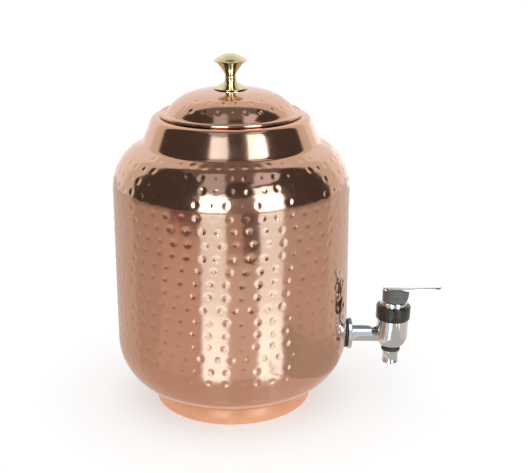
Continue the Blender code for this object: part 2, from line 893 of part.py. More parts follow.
def make_blade(pivot):
    """The chromed finger blade, lofted from sections along its length, with a tenon into the cam block."""
    shape = bmesh.new()
    loops = []
    for along, width, thick, rise in blade_shares:
        across = blade_back + blade_length * along
        bottom = blade_foot + blade_thickness * rise
        section = blade_section(blade_half_width * width, bottom, blade_thickness * thick)
        corners = [shape.verts.new((across, side, height)) for side, height in section]
        loops.append([shape.edges.new(pair) for pair in zip(corners, corners[1:] + corners[:1])])
    for first, second in zip(loops, loops[1:]):
        bmesh.ops.bridge_loops(shape, edges=first + second)
    bmesh.ops.holes_fill(shape, edges=loops[0] + loops[-1])
    bmesh.ops.recalc_face_normals(shape, faces=shape.faces)
    blade = piece("lever_blade", shape, chrome(), pivot)
    tenon = block(
        (tenon_back, -tenon_half_width, cam_top - tenon_depth + seat_gap),
        (tenon_back + tenon_length, tenon_half_width, blade_foot + blade_thickness / 2),
    )
    combine(blade, cutter("blade_tenon", tenon, pivot), "UNION")


def make_pin(pivot):
    half_length = math.sqrt(cam_radius**2 - cam_forward**2) - pin_inset
    piece("lever_pin", rod_across(pin_radius, half_length, small_steps), steel(), pivot)


def make_pot(frame, shank_frame):
    low = tap_reach - shank_radius - cut_overrun
    hole = rod(shank_hole_radius, low, inner_gasket_end + cut_overrun, tap_steps)
    make_pot_shell(frame, cutter("shank_hole", hole, shank_frame))
    make_foot_ring(frame)


def make_lid(pot_frame):
    frame = frame_at("lid_frame", (0, 0, mouth_height), parent=pot_frame)
    make_lid_shell(frame)
    make_locating_ring(frame)
    make_knob(frame)


def make_tap(pot_frame, frame, shank_frame):
    make_shank(shank_frame)
    make_outer_fixings(shank_frame, pot_frame)
    make_inner_fixings(shank_frame, pot_frame)
    make_tap_body(frame, shank_frame)
    make_spout(frame)
    make_bonnet(frame)
    make_stem_seals(frame)
    make_valve_plug(frame)
    make_spring(frame)
    pivot = frame_at("lever_pivot", (0, 0, pin_height), parent=frame)
    reach = cam_radius + cut_overrun
    pin_hole = cutter("pin_hole", rod_across(pin_radius + slide_gap, reach, small_steps), pivot)
    make_stem(frame, pin_hole)
    make_cam_block(pivot, pin_hole)
    make_blade(pivot)
    make_pin(pivot)


def main():
    clear_scene()
    pot_frame = frame_at("pot_frame", (-pot_offset, 0, 0))
    tap_place = (tap_middle_radius, 0, tap_middle_height)
    tap_frame = frame_at("tap_frame", tap_place, (0, tap_lean, 0), pot_frame)
    shank_frame = frame_at("shank_frame", (0, 0, 0), (0, -quarter, 0), tap_frame)
    make_pot(pot_frame, shank_frame)
    make_lid(pot_frame)
    make_tap(pot_frame, tap_frame, shank_frame)


main()
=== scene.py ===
import json
import math
import random

import bmesh
import bpy
from mathutils import Matrix, Vector


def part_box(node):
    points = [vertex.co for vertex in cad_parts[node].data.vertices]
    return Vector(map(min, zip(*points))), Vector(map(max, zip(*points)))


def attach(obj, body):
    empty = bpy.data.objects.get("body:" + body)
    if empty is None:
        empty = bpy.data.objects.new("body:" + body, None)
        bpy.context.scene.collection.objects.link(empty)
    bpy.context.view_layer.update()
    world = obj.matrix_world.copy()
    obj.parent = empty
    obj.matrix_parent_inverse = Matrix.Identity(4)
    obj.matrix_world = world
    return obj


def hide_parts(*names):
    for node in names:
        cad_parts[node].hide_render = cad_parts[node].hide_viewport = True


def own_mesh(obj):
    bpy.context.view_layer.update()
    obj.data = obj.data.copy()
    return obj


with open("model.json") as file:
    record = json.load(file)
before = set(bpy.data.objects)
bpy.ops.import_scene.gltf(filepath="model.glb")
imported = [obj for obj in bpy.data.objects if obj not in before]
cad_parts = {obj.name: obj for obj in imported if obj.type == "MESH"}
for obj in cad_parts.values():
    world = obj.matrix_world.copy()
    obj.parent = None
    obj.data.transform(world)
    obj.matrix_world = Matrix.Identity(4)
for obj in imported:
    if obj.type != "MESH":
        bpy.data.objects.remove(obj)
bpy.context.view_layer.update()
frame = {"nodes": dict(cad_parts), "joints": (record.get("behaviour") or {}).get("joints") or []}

# --- Pot ------------------------------------------------------------------------
# The pot is one copper sheet a millimetre thick, spun into a bottom, wall, round shoulder and
# collar. A round-faced hammer marks its wall and shoulder in rows, and it is buffed to a mirror and
# lacquered. The inside, the collar and the lower corner stay smooth, as the spinning left them.

pot_low, pot_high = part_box("pot_shell")
pot_axis = (pot_low.x + pot_high.x) / 2
pot_place = Matrix.Translation((pot_axis, 0, 0))
pot_radius = (pot_high.x - pot_low.x) / 2
pot_sheet = 0.0010
round_steps = 96
corner_radius = 0.0510
corner_across = pot_radius - corner_radius
corner_height = pot_low.z + corner_radius
wall_height = 0.1465
shoulder_radius = 0.0460
shoulder_across = pot_radius - shoulder_radius
shoulder_height = corner_height + wall_height
mouth_radius = 0.0620
rim_across = mouth_radius + 0.0055
rim_round = 0.0065
rim_height = pot_high.z - rim_round
crease_across = rim_across + 0.0145
crease_angle = math.acos((crease_across - shoulder_across) / shoulder_radius)
crease_height = shoulder_height + shoulder_radius * math.sin(crease_angle)
crease_fillet = 0.0060
ledge_start = math.radians(52)
ledge_across = shoulder_across + shoulder_radius * math.cos(ledge_start)
ledge_height = shoulder_height + shoulder_radius * math.sin(ledge_start)
ledge_slope = math.atan2(ledge_across - crease_across, crease_height - ledge_height)

dent_columns = 50
dent_rows = 18
dent_pitch = 0.0117
first_dent = -0.0060
dent_radius = 0.0036
dent_depth = 0.00050
dent_lines = (-0.0060, -0.0040, -0.0026, -0.0013, 0.0, 0.0013, 0.0026, 0.0040)
dent_meridians = (-0.0069, -0.0042, -0.0026, -0.0013, 0.0, 0.0013, 0.0026, 0.0042)
dent_slip = 0.0013
dent_lift = 0.0007
plain_round_tap = 0.0175
tap_hole_height = 0.0588


def arc(across, height, radius, start, end, steps):
    """Points (radius, height) along an arc, its angles in radians from straight out."""
    turns = [start + (end - start) * step / steps for step in range(steps + 1)]
    return [(across + radius * math.cos(turn), height + radius * math.sin(turn)) for turn in turns]


def turned(outline, steps, closed=True, marks=()):
    """A solid turned about Z from (radius, height) points, which keep their marks on the way."""
    shape = bmesh.new()
    mark = shape.verts.layers.float.new("mark")
    corners = [shape.verts.new((across, 0, height)) for across, height in outline]
    for corner, value in zip(corners, marks):
        corner[mark] = value
    ends = corners[1:] + corners[:1] if closed else corners[1:]
    edges = [shape.edges.new(pair) for pair in zip(corners, ends)]
    full = {"axis": (0, 0, 1), "angle": math.tau, "steps": steps, "use_merge": True}
    bmesh.ops.spin(shape, geom=corners + edges, **full)
    bmesh.ops.remove_doubles(shape, verts=shape.verts, dist=0.000001)
    bmesh.ops.recalc_face_normals(shape, faces=shape.faces)
    return shape


def add_object(name, shape, place):
    """An object from a finished bmesh, which is moved from where it was made to its place."""
    bmesh.ops.transform(shape, matrix=place, verts=shape.verts)
    mesh = bpy.data.meshes.new(name)
    shape.to_mesh(mesh)
    shape.free()
    made = bpy.data.objects.new(name, mesh)
    bpy.context.scene.collection.objects.link(made)
    return made


def add_piece(name, shape, material, place=Matrix()):
    """A piece from a finished bmesh, shaded smooth up to its sharp edges."""
    made = add_object(name, shape, place)
    made.data.materials.append(material)
    made.data.shade_smooth()
    made.data.set_sharp_from_angle(angle=math.radians(38))
    return made


def bore(target, radius, low, high, steps, place):
    """Bores a round hole in a piece, and keeps the result as the piece's own mesh."""
    rod = turned([(0, low), (radius, low), (radius, high), (0, high)], steps, False)
    tool = add_object("cutter", rod, place)
    cut = target.modifiers.new("cut", "BOOLEAN")
    cut.operation = "DIFFERENCE"
    cut.solver = "EXACT"
    cut.object = tool
    bpy.context.view_layer.update()
    graph = bpy.context.evaluated_depsgraph_get()
    result = bpy.data.meshes.new_from_object(target.evaluated_get(graph))
    target.modifiers.clear()
    target.data = result
    bpy.data.objects.remove(tool)


def linear(hex_colour):
    """An sRGB hex colour as the linear colour that a socket takes."""
    levels = [int(hex_colour[place : place + 2], 16) / 255 for place in (1, 3, 5)]
    return (*[v / 12.92 if v < 0.04045 else ((v + 0.055) / 1.055) ** 2.4 for v in levels], 1)


def add_node(tree, kind, sockets=None, **settings):
    """A node with its settings. A socket is given a value, or a node or an output to link to."""
    made = tree.nodes.new(kind)
    for name, value in settings.items():
        setattr(made, name, value)
    for name, value in (sockets or {}).items():
        if isinstance(value, bpy.types.Node):
            value = value.outputs[0]
        if isinstance(value, bpy.types.NodeSocket):
            tree.links.new(value, made.inputs[name])
        else:
            made.inputs[name].default_value = value
    return made


def new_material(name):
    """An empty material and its node tree."""
    made = bpy.data.materials.new(name)
    made.use_nodes = True
    made.node_tree.nodes.clear()
    return made, made.node_tree


def add_noise(tree, scale, detail, stretch=None):
    """A noise pattern that stays with its object, and can be drawn out along some of its axes."""
    place = add_node(tree, "ShaderNodeTexCoord").outputs["Object"]
    if stretch:
        place = add_node(tree, "ShaderNodeMapping", {"Vector": place, "Scale": stretch})
    return add_node(tree, "ShaderNodeTexNoise", {"Vector": place, "Scale": scale, "Detail": detail})


def add_surface(tree, sockets, tint, gloss=None, relief=None):
    """A material's shader and output, from the sockets that are even all over and the patterns that
    the others follow: tint between two colours, gloss as the pattern's range and the roughness that
    it gives, and relief as a depth and a strength."""
    pattern, first, second = tint
    shares = {0: pattern, 6: linear(first), 7: linear(second)}
    colour = add_node(tree, "ShaderNodeMix", shares, data_type="RGBA")
    sockets = {"Base Color": colour.outputs[2], **sockets}
    if gloss:
        pattern, (low, high), (smooth, rough) = gloss
        limits = {"From Min": low, "From Max": high, "To Min": smooth, "To Max": rough}
        sockets["Roughness"] = add_node(tree, "ShaderNodeMapRange", {"Value": pattern, **limits})
    if relief:
        pattern, depth, strength = relief
        heights = {"Height": pattern, "Distance": depth, "Strength": strength}
        sockets["Normal"] = add_node(tree, "ShaderNodeBump", heights)
    shader = add_node(tree, "ShaderNodeBsdfPrincipled", sockets)
    add_node(tree, "ShaderNodeOutputMaterial", {"Surface": shader})


# Copper C110, hammered, buffed and lacquered: a warm mirror whose reflections stay a little soft,
# with slow changes of tint, a faint haze of buffing compound and the sheet's slight waviness.
hammered_copper, tree = new_material("hammered_copper")
cloud = add_noise(tree, 28.0, 3.0)
haze = add_noise(tree, 90.0, 5.0)
sway = add_noise(tree, 45.0, 1.0)
add_surface(
    tree,
    {"Metallic": 1.0},
    tint=(cloud, "#dfb59f", "#d7aa90"),
    gloss=(haze, (0.3, 0.7), (0.10, 0.15)),
    relief=(sway, 0.00012, 1.0),
)


def skin_place(along):
    """Radius, height and slope of the pot's outside at a distance up its skin from the corner."""
    if along < 0:
        turn = along / corner_radius
        across = corner_across + corner_radius * math.cos(turn)
        return across, corner_height + corner_radius * math.sin(turn), turn
    if along < wall_height:
        return pot_radius, corner_height + along, 0.0
    turn = (along - wall_height) / shoulder_radius
    if turn < ledge_start:
        across = shoulder_across + shoulder_radius * math.cos(turn)
        return across, shoulder_height + shoulder_radius * math.sin(turn), turn
    run = (turn - ledge_start) * shoulder_radius
    across = ledge_across - run * math.sin(ledge_slope)
    return across, ledge_height + run * math.cos(ledge_slope), ledge_slope


# Each point of the outline carries how far up the skin it lies, or this where nothing is hammered.
unmarked = -1.0
corner_length = corner_radius * math.pi / 2
row_places = [first_dent + dent_pitch * row for row in range(dent_rows)]
hammered_from = row_places[0] - dent_pitch / 2
hammered_to = row_places[-1] + dent_pitch / 2
smooth_steps = 15
skin_marks = [
    -corner_length + (corner_length + hammered_from) * step / smooth_steps
    for step in range(smooth_steps)
]
skin_marks += [row + line for row in row_places for line in dent_lines]
skin_marks.append(hammered_to)

# The shoulder's last stretch is a straight slope. A fillet joins it to the collar.
collar_start = math.atan2(crease_height - rim_height, crease_across - rim_across) + math.acos(
    rim_round / math.hypot(crease_across - rim_across, crease_height - rim_height)
)
crease_turn = (ledge_slope - collar_start) / 2
middle_slope = (ledge_slope + collar_start) / 2
fillet_across = crease_across + crease_fillet / math.cos(crease_turn) * math.cos(middle_slope)
fillet_height = crease_height + crease_fillet / math.cos(crease_turn) * math.sin(middle_slope)
fillet_ends = (ledge_slope + math.pi, collar_start + math.pi)
fillet = arc(fillet_across, fillet_height, crease_fillet, *fillet_ends, 7)
rim = arc(rim_across, rim_height, rim_round, collar_start, math.pi / 2, 8)
collar_foot, collar_top = Vector(fillet[-1]), Vector(rim[0])
collar_steps = 8
collar = [
    tuple(collar_foot.lerp(collar_top, step / collar_steps)) for step in range(1, collar_steps)
]

skin_line = [(0.0, pot_low.z), (0.020, pot_low.z), (0.040, pot_low.z)]
marks = [unmarked] * len(skin_line) + skin_marks
skin_line += [skin_place(along)[:2] for along in skin_marks]
lip = pot_sheet * 0.3
outside = skin_line + fillet + collar + rim
outside += [
    (mouth_radius + lip, pot_high.z),
    (mouth_radius, pot_high.z - lip),
    (mouth_radius, pot_high.z - pot_sheet + lip),
    (mouth_radius + lip, pot_high.z - pot_sheet),
]
inside = arc(rim_across, rim_height, rim_round - pot_sheet, math.pi / 2, collar_start, 5)
inside += arc(fillet_across, fillet_height, crease_fillet + pot_sheet, *fillet_ends[::-1], 3)
inside += arc(shoulder_across, shoulder_height, shoulder_radius - pot_sheet, ledge_start, 0, 8)
inside += arc(corner_across, corner_height, corner_radius - pot_sheet, 0, -math.pi / 2, 9)
inside += [(0.030, pot_low.z + pot_sheet), (0.0, pot_low.z + pot_sheet)]
marks += [unmarked] * (len(outside) + len(inside) - len(marks))
pot_shape = turned(outside + inside, dent_columns * len(dent_meridians), False, marks)

# Each hammer mark has its own place, width and depth, and each row its own start round the pot. The
# top row, close under the collar, was struck more lightly.
random.seed(11)
row_turns = [random.uniform(-0.5, 0.5) * math.tau / dent_columns for _row in range(dent_rows)]
dents = {}
for row in range(dent_rows):
    blow = 0.5 if row == dent_rows - 1 else 1.0
    for column in range(dent_columns):
        slip = random.uniform(-dent_slip, dent_slip)
        lift = random.uniform(-dent_lift, dent_lift)
        radius = dent_radius * random.uniform(0.86, 1.14)
        depth = dent_depth * random.uniform(0.70, 1.25) * blow
        dents[row, column] = slip, lift, radius, depth


def row_turn(along):
    """How far the columns of marks have slid round the pot at a height, steady in each row."""
    row = min(max(int((along - row_places[0]) // dent_pitch), 0), dent_rows - 2)
    between = (along - row_places[row]) / dent_pitch
    share = min(max((between - 0.35) / 0.30, 0.0), 1.0)
    share = share * share * (3 - 2 * share)
    return row_turns[row] + (row_turns[row + 1] - row_turns[row]) * share


# The lines of points near a mark are pulled along to its place, and those inside it are sunk.
cell_turn = math.tau / dent_columns
side_reach, rise_reach = -dent_meridians[0], -dent_lines[0]
mark = pot_shape.verts.layers.float["mark"]
for vert in pot_shape.verts:
    along = vert[mark]
    if along < hammered_from - 0.0001 or along == unmarked:
        continue
    line = round(math.atan2(vert.co.y, vert.co.x) / cell_turn * len(dent_meridians))
    column, meridian = divmod(line % (dent_columns * len(dent_meridians)), len(dent_meridians))
    offset = dent_meridians[meridian]
    row = min(max(round((along - row_places[0]) / dent_pitch), 0), dent_rows - 1)
    rise = along - row_places[row]
    slip, lift, radius, depth = dents[row, column]
    side_pull = 1 - min(abs(offset) / side_reach, 1) ** 2
    pull = side_pull * (1 - min(abs(rise) / rise_reach, 1) ** 2)
    turn = column * cell_turn + offset / pot_radius + row_turn(along) + slip * pull / pot_radius
    across, height, slope = skin_place(along + lift * pull)
    dent_turn = column * cell_turn + row_turn(row_places[row]) + slip / pot_radius
    away = math.hypot((turn - dent_turn) * across, rise + lift * pull - lift)
    above_hole = skin_place(row_places[row])[1] - tap_hole_height
    from_hole = math.hypot(pot_radius * math.sin(dent_turn), above_hole)
    near_tap = math.cos(dent_turn) > 0 and from_hole < plain_round_tap
    if away < radius and not near_tap:
        sink = depth * (1 + math.cos(math.pi * away / radius)) / 2
        across -= sink * math.cos(slope)
        height -= sink * math.sin(slope)
    vert.co = (across * math.cos(turn), across * math.sin(turn), height)
pot = add_piece("pot_copper", pot_shape, hammered_copper, pot_place)

# The tap leans a little. Its middle is where the stem's line meets the shank's, and its own place
# has Z up the stem. The shank's place has Z from there towards the pot.
joints = {found["name"]: found for found in frame["joints"]}
pin_height = 0.0423
tap_reach = 0.0458
stem_axis = Vector(joints["valve_lift"]["axis"]).normalized()
tap_lean = math.atan2(stem_axis.x, stem_axis.z)
tap_middle = Vector(joints["lever_tilt"]["pos_m"]) - pin_height * stem_axis
tap_place = Matrix.Translation(tap_middle) @ Matrix.Rotation(tap_lean, 4, "Y")
shank_place = tap_place @ Matrix.Rotation(-math.pi / 2, 4, "Y")
clearance = 0.0003
shank_radius = 0.0079
shank_hole = shank_radius + clearance
hole_steps = 48
wall_cut = 0.012
bore(pot, shank_hole, tap_reach - wall_cut, tap_reach + wall_cut, hole_steps, shank_place)
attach(pot, "pot")
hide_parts("pot_shell")

# --- Foot ring ------------------------------------------------------------------
# A strip of copper, rolled and soldered into a hoop, carries the pot off the table. It is only
# brushed, so it looks paler and softer than the pot, and a thin fillet of solder joins it above.

foot_radius = 0.0750
foot_wall = 0.0015
foot_edge = 0.0004
solder_gap = 0.0003


def underside(across):
    """Height of the pot's underside at a radius."""
    run = max(across - corner_across, 0)
    return corner_height - math.sqrt(corner_radius**2 - run**2)


foot_top = underside(foot_radius) - solder_gap
foot_outline = [
    (foot_radius - foot_wall, foot_edge),
    (foot_radius - foot_wall + foot_edge, 0),
    (foot_radius - foot_edge, 0),
    (foot_radius, foot_edge),
    (foot_radius, foot_top - 0.0012),
    (foot_radius + 0.0001, foot_top - 0.0006),
    (foot_radius + 0.0004, foot_top - 0.0001),
    (foot_radius + 0.0004, foot_top),
    (foot_radius - foot_wall, underside(foot_radius - foot_wall) - solder_gap),
]
foot_shape = turned(foot_outline, 256)

# Brushed copper: brush lines run round the hoop. Real ones are 0.05 mm apart, too fine to show from
# here, so they are drawn about 0.6 mm apart, and the light spreads softly across them.
brushed_copper, tree = new_material("brushed_copper")
patches = add_noise(tree, 40.0, 4.0)
lines = add_noise(tree, 1700.0, 3.0, (0.03, 0.03, 1.0))
add_surface(
    tree,
    {"Metallic": 1.0},
    tint=(patches, "#f6bf9d", "#eab18c"),
    gloss=(lines, (0.3, 0.7), (0.26, 0.40)),
    relief=(lines, 0.00002, 0.7),
)

foot = add_piece("foot_ring_copper", foot_shape, brushed_copper, pot_place)
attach(foot, "pot")
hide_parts("foot_ring")

# --- Seals at the wall ----------------------------------------------------------
# Two nitrile rubber washers grip the wall where the tap goes through it. The outer one is squeezed
# between the chromed flange and the round wall, and shows as a dark line that follows the curve.

gasket_radius = shank_radius + 0.0060
gasket_thickness = 0.0016
gasket_edge = 0.0003
gasket_front = tap_reach - gasket_thickness


def wall_radius(height):
    """The pot's outside radius at a height, for what seats on the wall."""
    drop = max(corner_height - height, 0)
    return corner_across + math.sqrt(corner_radius**2 - drop**2)


gasket_outline = [
    (shank_hole, gasket_front),
    (gasket_radius - gasket_edge, gasket_front),
    (gasket_radius, gasket_front + gasket_edge),
    (gasket_radius, tap_reach + clearance),
    (shank_hole, tap_reach + clearance),
]
gasket_shape = turned(gasket_outline, round_steps)
against_wall = [vert for vert in gasket_shape.verts if vert.co.z > tap_reach]
bmesh.ops.transform(gasket_shape, matrix=shank_place, verts=gasket_shape.verts)
inward = (shank_place.to_3x3() @ Vector((0, 0, 1))).normalized()
for vert in against_wall:
    start, low, high = vert.co.copy(), -0.003, 0.008
    for _halving in range(24):
        middle = (low + high) / 2
        point = start + inward * middle
        if math.hypot(point.x - pot_axis, point.y) > wall_radius(point.z) + clearance:
            low = middle
        else:
            high = middle
    vert.co = start + inward * middle

# Nitrile rubber, moulded: nearly black, matt, with a fine even grain.
nitrile_rubber, tree = new_material("nitrile_rubber")
grain = add_noise(tree, 900.0, 4.0)
add_surface(
    tree,
    {"Roughness": 0.7, "IOR": 1.52},
    tint=(grain, "#34302d", "#45403c"),
    relief=(grain, 0.00006, 0.6),
)

gasket = add_piece("outer_gasket_rubber", gasket_shape, nitrile_rubber)
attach(gasket, "pot")
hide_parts("outer_gasket")


def refinish(material, *nodes):
    """Gives a material to CAD nodes that keep their own shape."""
    for node in nodes:
        for slot in frame["nodes"][node].material_slots:
            slot.material = material


refinish(nitrile_rubber, "inner_gasket", "bonnet_seal", "stem_o_ring")

# --- Shank and flange -----------------------------------------------------------
# A brass tube with a thread at its inner end leads the water out to the tap, and a loose flange on
# it covers the hole. Both are turned, buffed and plated with bright nickel and chromium.

flange_radius = shank_radius + 0.0074
flange_thickness = 0.0038
flange_bevel = 0.0012
flange_edge = 0.0003
bore_edge = 0.0004
flange_end = gasket_front - clearance
flange_front = flange_end - flange_thickness
flange_outline = [(shank_hole, flange_end), (shank_hole, flange_front + bore_edge)]
flange_outline.append((shank_hole + bore_edge, flange_front))
bevel_across, bevel_height = flange_radius - flange_bevel, flange_front + flange_bevel
flange_outline += arc(bevel_across, bevel_height, flange_bevel, -math.pi / 2, 0, 5)
flange_outline += [(flange_radius, flange_end - flange_edge)]
flange_outline += [(flange_radius - flange_edge, flange_end)]
flange_shape = turned(flange_outline, round_steps)

shank_bore = 0.0050
shank_start = 0.0112
shank_end = 0.0634
shank_chamfer = 0.0008
thread_start = 0.0450
thread_pitch = 0.0018
thread_depth = 0.0007
thread_lines = 72
thread_run = shank_end - shank_chamfer - thread_start
shank_outline = [(shank_bore, shank_start), (shank_radius - 0.0003, shank_start)]
shank_outline += [(shank_radius, shank_start + 0.0003)]
shank_outline += [
    (shank_radius, thread_start + thread_run * line / thread_lines)
    for line in range(thread_lines + 1)
]
shank_outline += [(shank_radius - shank_chamfer, shank_end), (shank_bore, shank_end)]
shank_shape = turned(shank_outline, round_steps)
for vert in shank_shape.verts:
    across = math.hypot(vert.co.x, vert.co.y)
    if vert.co.z < thread_start + 0.0001 or across < shank_radius - shank_chamfer - 0.0001:
        continue
    pitches = (vert.co.z - thread_start) / thread_pitch
    phase = (pitches - math.atan2(vert.co.y, vert.co.x) / math.tau) % 1.0
    groove = thread_depth * (1 - abs(2 * phase - 1)) * min(pitches, 1.0)
    vert.co.x *= 1 - groove / across
    vert.co.y *= 1 - groove / across

# Bright chromium over nickel on brass: a neutral, faintly blue mirror, with the buffing's slight
# waviness and a few dull specks.
bright_chrome, tree = new_material("bright_chrome")
cloud = add_noise(tree, 160.0, 3.0)
specks = add_noise(tree, 700.0, 2.0)
add_surface(
    tree,
    {"Metallic": 1.0},
    tint=(cloud, "#e9eef2", "#dfe5ea"),
    gloss=(specks, (0.45, 0.75), (0.05, 0.13)),
    relief=(cloud, 0.00003, 0.6),
)

flange = add_piece("tap_flange_chrome", flange_shape, bright_chrome, shank_place)
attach(flange, "pot")
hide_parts("tap_flange")
shank = add_piece("tap_shank_chrome", shank_shape, bright_chrome, shank_place)
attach(shank, "pot")
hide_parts("tap_shank")

# --- Washers, nut, stem and knob screw ------------------------------------------
# Inside the pot a stainless washer and a six-sided nut pull the tap tight against the wall. The
# stem, its washer and the knob's screw are stainless too, as turned. All keep their CAD shapes.

# Stainless steel 304, machined: grey, half bright, with a fine tooled grain.
machined_steel, tree = new_material("machined_steel")
lines = add_noise(tree, 1100.0, 3.0)
add_surface(
    tree,
    {"Metallic": 1.0},
    tint=(lines, "#b9b9b7", "#a9a9a8"),
    gloss=(lines, (0.3, 0.7), (0.22, 0.36)),
    relief=(lines, 0.00002, 0.5),
)
refinish(machined_steel, "inner_washer", "lock_nut", "spring_washer", "stem")
refinish(machined_steel, "knob_washer", "knob_screw")

# --- Tap body and spout ---------------------------------------------------------
# The tap's body is a round-bottomed brass cup, cast, turned and chromed. The spout screws up into
# its foot: a collar, a step, and a short nozzle with a rolled lip. The collar is given the dark
# rubber's colour as painted shade, for the shade that falls under the body's round foot.

body_radius = 0.0153
body_wall = 0.0030
body_edge = 0.0005
cup_height = 0.0170
neck_radius = body_radius - 0.0010
neck_top = cup_height + 0.0075
spout_thread = 0.0065
body_foot_radius = spout_thread + 0.0022
body_foot = -math.sqrt(body_radius**2 - body_foot_radius**2)
body_floor = body_foot + 0.0061
chamber_radius = body_radius - body_wall
body_outline = [(spout_thread + clearance, body_foot)]
body_outline += arc(0, 0, body_radius, math.asin(body_foot / body_radius), 0, 18)
body_outline += [
    (body_radius, cup_height / 2),
    (body_radius, cup_height - body_edge),
    (body_radius - body_edge, cup_height),
    (neck_radius, cup_height),
    (neck_radius, neck_top),
    (chamber_radius, neck_top),
]
body_outline += arc(0, 0, chamber_radius, 0, math.asin(body_floor / chamber_radius), 8)
body_outline.append((spout_thread + clearance, body_floor))
body_shape = turned(body_outline, round_steps)
body = add_piece("tap_body_chrome", body_shape, bright_chrome, tap_place)
side_cut = body_radius + 0.004
bore(body, shank_hole, shank_start - clearance, side_cut, hole_steps, shank_place)
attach(body, "pot")
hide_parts("tap_body")

collar_radius = 0.0092
collar_edge = 0.0004
step_radius = 0.0083
nozzle_radius = 0.0075
nozzle_bore = 0.0050
lip_radius = nozzle_radius + 0.0005
spout_top = body_foot - clearance
spout_step = spout_top - 0.0034
nozzle_top = spout_step - 0.0024
nozzle_end = nozzle_top - 0.0106
thread_top = body_floor + 0.0010
spout_outline = [
    (nozzle_bore, nozzle_end + 0.0004),
    (nozzle_bore + 0.0004, nozzle_end),
    (lip_radius - 0.0003, nozzle_end),
    (lip_radius, nozzle_end + 0.0003),
    (lip_radius, nozzle_end + 0.0010),
    (nozzle_radius, nozzle_end + 0.0018),
    (nozzle_radius, nozzle_top - 0.0006),
    (nozzle_radius + 0.0004, nozzle_top),
    (step_radius - 0.0003, nozzle_top),
    (step_radius, nozzle_top + 0.0003),
    (step_radius, spout_step),
    (collar_radius - collar_edge, spout_step),
    (collar_radius, spout_step + collar_edge),
    (collar_radius, spout_top - collar_edge),
    (collar_radius - collar_edge, spout_top),
    (spout_thread, spout_top),
    (spout_thread, thread_top),
    (nozzle_bore, thread_top),
]
spout_shape = turned(spout_outline, round_steps)
# The collar's faces take the dark rubber's colour: painted shade under the body's round foot.
for face in spout_shape.faces:
    if face.calc_center_median().z > spout_step - 0.0001:
        face.material_index = 1
spout = add_piece("outlet_spout_chrome", spout_shape, bright_chrome, tap_place)
spout.data.materials.append(nitrile_rubber)
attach(spout, "pot")
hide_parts("outlet_spout")

# --- Bonnet ---------------------------------------------------------------------
# A chromed cap guides the stem, and a glossy black ring nut moulded in ABS screws over its flange
# and holds it down on the body.

bonnet_foot = neck_top + 0.0018
bonnet_flange_top = bonnet_foot + 0.0020
bonnet_top = bonnet_flange_top + 0.0072
bonnet_ceiling = bonnet_top - 0.0025
cap_radius = neck_radius - 0.0009
cap_hollow = cap_radius - 0.0020
cap_round = 0.0015
stem_hole = 0.0033
stem_hole_edge = 0.0005
gland_radius = 0.0046
gland_wall = 0.0064
gland_foot = bonnet_ceiling - 0.0036
gland_roof = gland_foot + 0.0024
cap_outline = [
    (cap_hollow, bonnet_foot),
    (neck_radius, bonnet_foot),
    (neck_radius, bonnet_flange_top),
    (cap_radius, bonnet_flange_top),
]
cap_outline += arc(cap_radius - cap_round, bonnet_top - cap_round, cap_round, 0, math.pi / 2, 8)
cap_outline += [
    (stem_hole + stem_hole_edge, bonnet_top),
    (stem_hole, bonnet_top - stem_hole_edge),
    (stem_hole, gland_roof),
    (gland_radius, gland_roof),
    (gland_radius, gland_foot),
    (gland_wall, gland_foot),
    (gland_wall, bonnet_ceiling),
    (cap_hollow, bonnet_ceiling),
]
cap_shape = turned(cap_outline, round_steps)
cap = add_piece("bonnet_cap_chrome", cap_shape, bright_chrome, tap_place)
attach(cap, "pot")
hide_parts("bonnet_cap")


def soften(shape, radius):
    """Rounds the sharp edges of a piece, as moulding and buffing do."""
    sharp = [edge for edge in shape.edges if edge.calc_face_angle(0) > math.radians(30)]
    settings = {"segments": 2, "profile": 0.5, "affect": "EDGES", "material": -1}
    bmesh.ops.bevel(shape, geom=sharp, offset=radius, clamp_overlap=True, **settings)


ring_inner = neck_radius + clearance
ring_outer = ring_inner + 0.0021
ring_foot = cup_height + clearance
ring_foot_edge = 0.0005
ring_lip = bonnet_flange_top + clearance
ring_top = ring_lip + 0.0025
ring_chamfer = 0.0014
ring_outline = [
    (ring_inner, ring_foot),
    (ring_outer - ring_foot_edge, ring_foot),
    (ring_outer, ring_foot + ring_foot_edge),
    (ring_outer, ring_top - ring_chamfer),
    (ring_outer - ring_chamfer, ring_top),
    (cap_radius + clearance, ring_top),
    (cap_radius + clearance, ring_lip),
    (ring_inner, ring_lip),
]
ring_shape = turned(ring_outline, round_steps)
soften(ring_shape, 0.0002)

# ABS, moulded in a polished tool: deep black with sharp highlights and a trace of flow ripple.
glossy_abs, tree = new_material("glossy_black_abs")
ripple = add_noise(tree, 220.0, 2.0)
add_surface(
    tree,
    {"IOR": 1.54},
    tint=(ripple, "#2f2d2a", "#393734"),
    gloss=(ripple, (0.3, 0.7), (0.14, 0.22)),
    relief=(ripple, 0.00003, 0.6),
)
ring = add_piece("bonnet_ring_abs", ring_shape, glossy_abs, tap_place)
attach(ring, "pot")
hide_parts("bonnet_ring")

# --- Return spring --------------------------------------------------------------
# A stainless wire is wound round the stem, between its shoulder and the washer under the bonnet's
# gland. The stem's lift squeezes it, and it shuts the valve.

spring_radius = 0.0064
wire_radius = 0.00055
spring_turns = 8
turn_steps = 36
wire_sides = 12
spring_gap = 0.0003
washer_thickness = 0.0008
seat_height = 0.0010
plug_thickness = 0.0050
shoulder_thickness = 0.0014
spring_roof = gland_foot - spring_gap - washer_thickness
spring_floor = body_floor + seat_height + plug_thickness + shoulder_thickness + 2 * spring_gap
wire_start = spring_floor + spring_gap + wire_radius
wire_rise = spring_roof - spring_gap - wire_radius - wire_start


